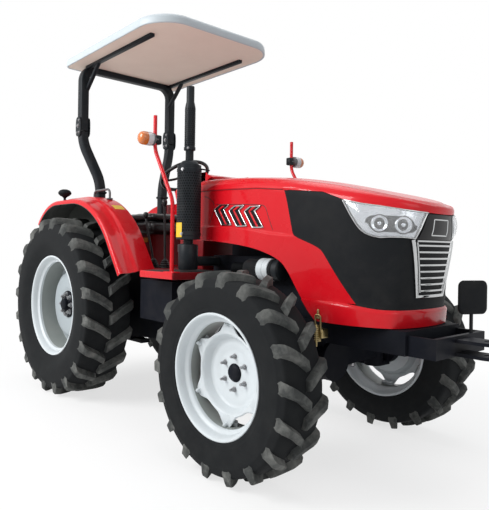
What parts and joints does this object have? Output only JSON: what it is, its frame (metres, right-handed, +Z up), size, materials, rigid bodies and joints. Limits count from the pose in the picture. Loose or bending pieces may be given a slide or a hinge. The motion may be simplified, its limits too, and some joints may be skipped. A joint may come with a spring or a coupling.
{
  "type": "farm tractor",
  "caption": "Red four-wheel-drive farm tractor with a canopy on a folding roll bar, steered front wheels, tilting hood and rear three-point linkage.",
  "frame": {"origin": "on the ground under the middle of the bounding box", "axes": "+X forward, +Y to the tractor's left, +Z up"},
  "size_m": [4.0999, 1.775, 2.865],
  "materials": {
    "red_paint": "gloss",
    "dark_paint": "satin",
    "wheel_paint": "satin",
    "tyre_rubber": "matte",
    "black_plastic": "matte",
    "chrome": "mirror",
    "lamp_lens": "gloss",
    "amber_lens": "gloss",
    "white_shell": "gloss",
    "frame_paint": "satin",
    "seat_vinyl": "satin",
    "steel": "brushed",
    "cast_metal": "painted"
  },
  "bodies": {
    "chassis": {"front_axle": "cast_metal", "front_frame": "cast_metal", "tow_bracket": "dark_paint", "engine_block": "cast_metal", "radiator": "dark_paint", "transmission_housing": "cast_metal", "rear_axle": "cast_metal", "drive_shaft": "steel", "air_cleaner": "black_plastic", "exhaust": "dark_paint", "battery_box": "black_plastic", "fuel_tank": "black_plastic", "platform": "red_paint", "fender_right": "red_paint", "fender_left": "red_paint", "rops_legs": "frame_paint", "dashboard": "black_plastic", "steering_column": "dark_paint", "seat_base": "black_plastic", "seat_cushion": "seat_vinyl", "seat_back": "seat_vinyl", "control_levers": "black_plastic", "marker_posts": "red_paint", "marker_lamps": "amber_lens", "front_mirror": "black_plastic", "drawbar": "dark_paint", "hood_latches": "steel", "fender_fittings": "dark_paint", "pedals": "dark_paint"},
    "hood": {"hood_shell": "red_paint", "headlamps": "lamp_lens", "hood_nose_panel": "black_plastic", "grille": "chrome", "hood_vents": "chrome"},
    "roof_frame": {"rops_hoop": "frame_paint", "canopy": "white_shell"},
    "knuckle_right": {"knuckle_right": "cast_metal"},
    "knuckle_left": {"knuckle_left": "cast_metal"},
    "tie_rod": {"tie_rod": "steel"},
    "steering_wheel": {"steering_wheel": "black_plastic"},
    "front_wheel_right": {"front_tyre_right": "tyre_rubber", "front_rim_right": "wheel_paint"},
    "front_wheel_left": {"front_tyre_left": "tyre_rubber", "front_rim_left": "wheel_paint"},
    "rear_wheel_right": {"rear_tyre_right": "tyre_rubber", "rear_rim_right": "wheel_paint"},
    "rear_wheel_left": {"rear_tyre_left": "tyre_rubber", "rear_rim_left": "wheel_paint"},
    "lift_arms": {"lift_arms": "dark_paint"},
    "lift_rods": {"lift_rods": "steel"},
    "lower_links": {"lower_links": "dark_paint"}
  },
  "joints": [
    {"name": "steer_right", "type": "hinge", "parent": "chassis", "child": "knuckle_right", "pos_m": [0.99, -0.56, 0.54715], "axis": [0, 0, 1], "range_deg": [-32, 32]},
    {"name": "steer_left", "type": "hinge", "parent": "chassis", "child": "knuckle_left", "pos_m": [0.99, 0.56, 0.54715], "axis": [0, 0, 1], "range_deg": [-32, 32]},
    {"name": "tie_rod_pivot", "type": "hinge", "parent": "knuckle_right", "child": "tie_rod", "pos_m": [0.82, -0.56, 0.41515], "axis": [0, 0, 1], "range_deg": [-32, 32]},
    {"name": "steering_wheel_turn", "type": "hinge", "parent": "chassis", "child": "steering_wheel", "pos_m": [-0.42, 0, 1.79], "axis": [-0.5, 0, 0.866], "range_deg": [-512, 512]},
    {"name": "hood_open", "type": "hinge", "parent": "chassis", "child": "hood", "pos_m": [0.21, 0, 1.6], "axis": [0, -1, 0], "range_deg": [0, 45]},
    {"name": "roof_fold", "type": "hinge", "parent": "chassis", "child": "roof_frame", "pos_m": [-1.3, 0, 2.265], "axis": [0, -1, 0], "range_deg": [0, 90]},
    {"name": "lift_raise", "type": "hinge", "parent": "chassis", "child": "lift_arms", "pos_m": [-1.325, 0, 1.02], "axis": [0, 1, 0], "range_deg": [-15, 35]},
    {"name": "lift_rod_pivot", "type": "hinge", "parent": "lift_arms", "child": "lift_rods", "pos_m": [-1.625, 0, 1.02], "axis": [0, 1, 0], "range_deg": [-35, 15]},
    {"name": "lower_link_raise", "type": "hinge", "parent": "chassis", "child": "lower_links", "pos_m": [-1.245, 0, 0.45], "axis": [0, 1, 0], "range_deg": [-15, 35]},
    {"name": "front_spin_right", "type": "hinge", "parent": "knuckle_right", "child": "front_wheel_right", "pos_m": [0.99, -0.745, 0.54715], "axis": [0, 1, 0], "continuous": true},
    {"name": "rear_spin_right", "type": "hinge", "parent": "chassis", "child": "rear_wheel_right", "pos_m": [-1.135, -0.655, 0.71914], "axis": [0, 1, 0], "continuous": true},
    {"name": "front_spin_left", "type": "hinge", "parent": "knuckle_left", "child": "front_wheel_left", "pos_m": [0.99, 0.745, 0.54715], "axis": [0, 1, 0], "continuous": true},
    {"name": "rear_spin_left", "type": "hinge", "parent": "chassis", "child": "rear_wheel_left", "pos_m": [-1.135, 0.655, 0.71914], "axis": [0, 1, 0], "continuous": true}
  ],
  "couplings": [
    {"joint": "steer_left", "follows": "steer_right", "ratio": 1},
    {"joint": "tie_rod_pivot", "follows": "steer_right", "ratio": -1},
    {"joint": "steering_wheel_turn", "follows": "steer_right", "ratio": 16},
    {"joint": "lift_rod_pivot", "follows": "lift_raise", "ratio": -1},
    {"joint": "lower_link_raise", "follows": "lift_raise", "ratio": 1}
  ]
}
